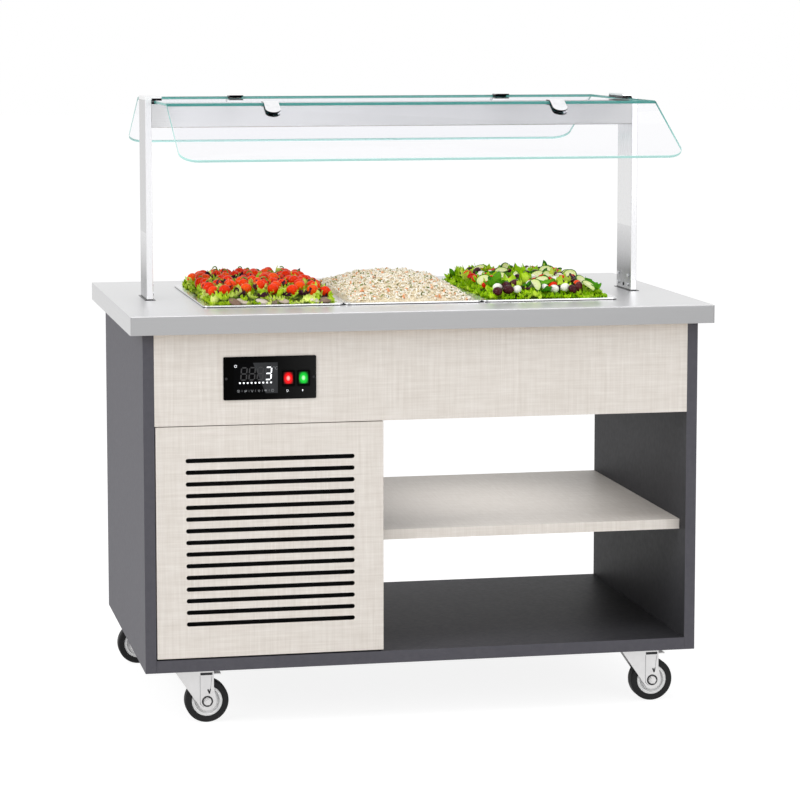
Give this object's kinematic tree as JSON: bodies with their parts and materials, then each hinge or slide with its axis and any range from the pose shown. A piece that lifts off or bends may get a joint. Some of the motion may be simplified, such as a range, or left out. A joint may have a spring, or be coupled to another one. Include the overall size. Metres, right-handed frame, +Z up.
{
  "type": "mobile salad bar",
  "caption": "Mobile refrigerated salad bar with food pans sunk in a steel worktop, a glass canopy with lamp on flat posts, a louvred machine bay, an open shelf bay and swivel casters.",
  "frame": {"origin": "on the floor under the middle of the worktop", "axes": "+X to the right along the worktop, the controls face -Y, +Z up"},
  "size_m": [1.345, 1.0312, 1.417],
  "materials": {
    "brushed_worktop": "brushed",
    "brushed_posts": "brushed",
    "pan_steel": "satin",
    "board": "matte",
    "foam": "matte",
    "anthracite": "satin laminate",
    "linen": "linen pattern laminate",
    "black_plastic": "satin",
    "display": "gloss",
    "red_plastic": "gloss",
    "green_plastic": "gloss",
    "zinc": "zinc plated",
    "black_metal": "satin",
    "aluminium": "satin",
    "copper": "drawn",
    "brass": "drawn",
    "opal": "opal",
    "glass": "clear float glass",
    "chrome": "polished",
    "rubber": "matte",
    "hub": "satin",
    "tyre": "matte"
  },
  "bodies": {
    "base": {"worktop_skin": "brushed_worktop", "worktop_core": "board", "well_tank": "pan_steel", "well_foam": "foam", "well_bars": "pan_steel", "side_panel_left": "anthracite", "side_panel_right": "anthracite", "floor_board": "anthracite", "well_deck": "anthracite", "bay_divider": "anthracite", "battens": "anthracite", "fascia_front": "linen", "fascia_rear": "linen", "rear_vent_panel": "linen", "shelf": "linen", "control_bezel": "black_plastic", "display_window": "display", "control_housings": "black_plastic", "unit_tray": "zinc", "compressor": "black_metal", "condenser": "aluminium", "fan_motor": "black_metal", "copper_pipes": "copper", "cable_gland": "black_plastic", "drain_pipe": "brass", "posts": "brushed_posts", "post_brackets": "zinc", "lamp_beam": "brushed_posts", "lamp_body": "aluminium", "lamp_diffuser": "opal", "canopy_top_glass": "glass", "canopy_front_glass": "glass", "canopy_rear_glass": "glass", "glass_clips": "chrome", "post_caps": "brushed_posts", "rubber_pads": "rubber", "fixings": "chrome", "caster_plates": "zinc"},
    "service_panel": {"service_panel": "linen"},
    "pan_left": {"pan_left": "pan_steel"},
    "pan_middle": {"pan_middle": "pan_steel"},
    "pan_right": {"pan_right": "pan_steel"},
    "rocker_power": {"rocker_power": "red_plastic"},
    "rocker_light": {"rocker_light": "green_plastic"},
    "fan_rotor": {"fan_rotor": "aluminium"},
    "drain_lever": {"drain_lever": "red_plastic"},
    "fork_front_left": {"caster_fork_front_left": "zinc"},
    "wheel_front_left": {"caster_hub_front_left": "hub", "caster_tyre_front_left": "tyre"},
    "fork_front_right": {"caster_fork_front_right": "zinc"},
    "wheel_front_right": {"caster_hub_front_right": "hub", "caster_tyre_front_right": "tyre"},
    "fork_rear_left": {"caster_fork_rear_left": "zinc"},
    "wheel_rear_left": {"caster_hub_rear_left": "hub", "caster_tyre_rear_left": "tyre"},
    "fork_rear_right": {"caster_fork_rear_right": "zinc"},
    "wheel_rear_right": {"caster_hub_rear_right": "hub", "caster_tyre_rear_right": "tyre"},
    "pedal_left": {"brake_pedal_left": "zinc"},
    "pedal_right": {"brake_pedal_right": "zinc"}
  },
  "joints": [
    {"name": "service_panel_off", "type": "slide", "parent": "base", "child": "service_panel", "axis": [0, -1, 0], "range_m": [0, 0.12]},
    {"name": "pan_left_lift", "type": "slide", "parent": "base", "child": "pan_left", "axis": [0, 0, 1], "range_m": [0, 0.2]},
    {"name": "pan_middle_lift", "type": "slide", "parent": "base", "child": "pan_middle", "axis": [0, 0, 1], "range_m": [0, 0.2]},
    {"name": "pan_right_lift", "type": "slide", "parent": "base", "child": "pan_right", "axis": [0, 0, 1], "range_m": [0, 0.2]},
    {"name": "rocker_power_tilt", "type": "hinge", "parent": "base", "child": "rocker_power", "pos_m": [-0.3155, -0.391, 0.796], "axis": [1, 0, 0], "range_deg": [0, 12]},
    {"name": "rocker_light_tilt", "type": "hinge", "parent": "base", "child": "rocker_light", "pos_m": [-0.281, -0.391, 0.796], "axis": [1, 0, 0], "range_deg": [0, 12]},
    {"name": "fan_spin", "type": "hinge", "parent": "base", "child": "fan_rotor", "pos_m": [-0.407, -0.21, 0.305], "axis": [0, 1, 0], "continuous": true},
    {"name": "drain_lever_turn", "type": "hinge", "parent": "base", "child": "drain_lever", "pos_m": [-0.4395, -0.199, 0.624], "axis": [0, -1, 0], "range_deg": [0, 90]},
    {"name": "swivel_front_left", "type": "hinge", "parent": "base", "child": "fork_front_left", "pos_m": [-0.527, -0.308, 0.126], "axis": [0, 0, 1], "continuous": true},
    {"name": "swivel_front_right", "type": "hinge", "parent": "base", "child": "fork_front_right", "pos_m": [0.527, -0.308, 0.126], "axis": [0, 0, 1], "continuous": true},
    {"name": "swivel_rear_left", "type": "hinge", "parent": "base", "child": "fork_rear_left", "pos_m": [-0.545, 0.325, 0.126], "axis": [0, 0, 1], "continuous": true},
    {"name": "swivel_rear_right", "type": "hinge", "parent": "base", "child": "fork_rear_right", "pos_m": [0.545, 0.325, 0.126], "axis": [0, 0, 1], "continuous": true},
    {"name": "roll_front_left", "type": "hinge", "parent": "fork_front_left", "child": "wheel_front_left", "pos_m": [-0.494, -0.308, 0.05], "axis": [0, 1, 0], "continuous": true},
    {"name": "roll_front_right", "type": "hinge", "parent": "fork_front_right", "child": "wheel_front_right", "pos_m": [0.56, -0.308, 0.05], "axis": [0, 1, 0], "continuous": true},
    {"name": "roll_rear_left", "type": "hinge", "parent": "fork_rear_left", "child": "wheel_rear_left", "pos_m": [-0.578, 0.325, 0.05], "axis": [0, 1, 0], "continuous": true},
    {"name": "roll_rear_right", "type": "hinge", "parent": "fork_rear_right", "child": "wheel_rear_right", "pos_m": [0.512, 0.325, 0.05], "axis": [0, 1, 0], "continuous": true},
    {"name": "brake_left", "type": "hinge", "parent": "fork_front_left", "child": "pedal_left", "pos_m": [-0.489, -0.308, 0.1137], "axis": [0, 1, 0], "range_deg": [0, 12]},
    {"name": "brake_right", "type": "hinge", "parent": "fork_front_right", "child": "pedal_right", "pos_m": [0.565, -0.308, 0.1137], "axis": [0, 1, 0], "range_deg": [0, 12]}
  ]
}
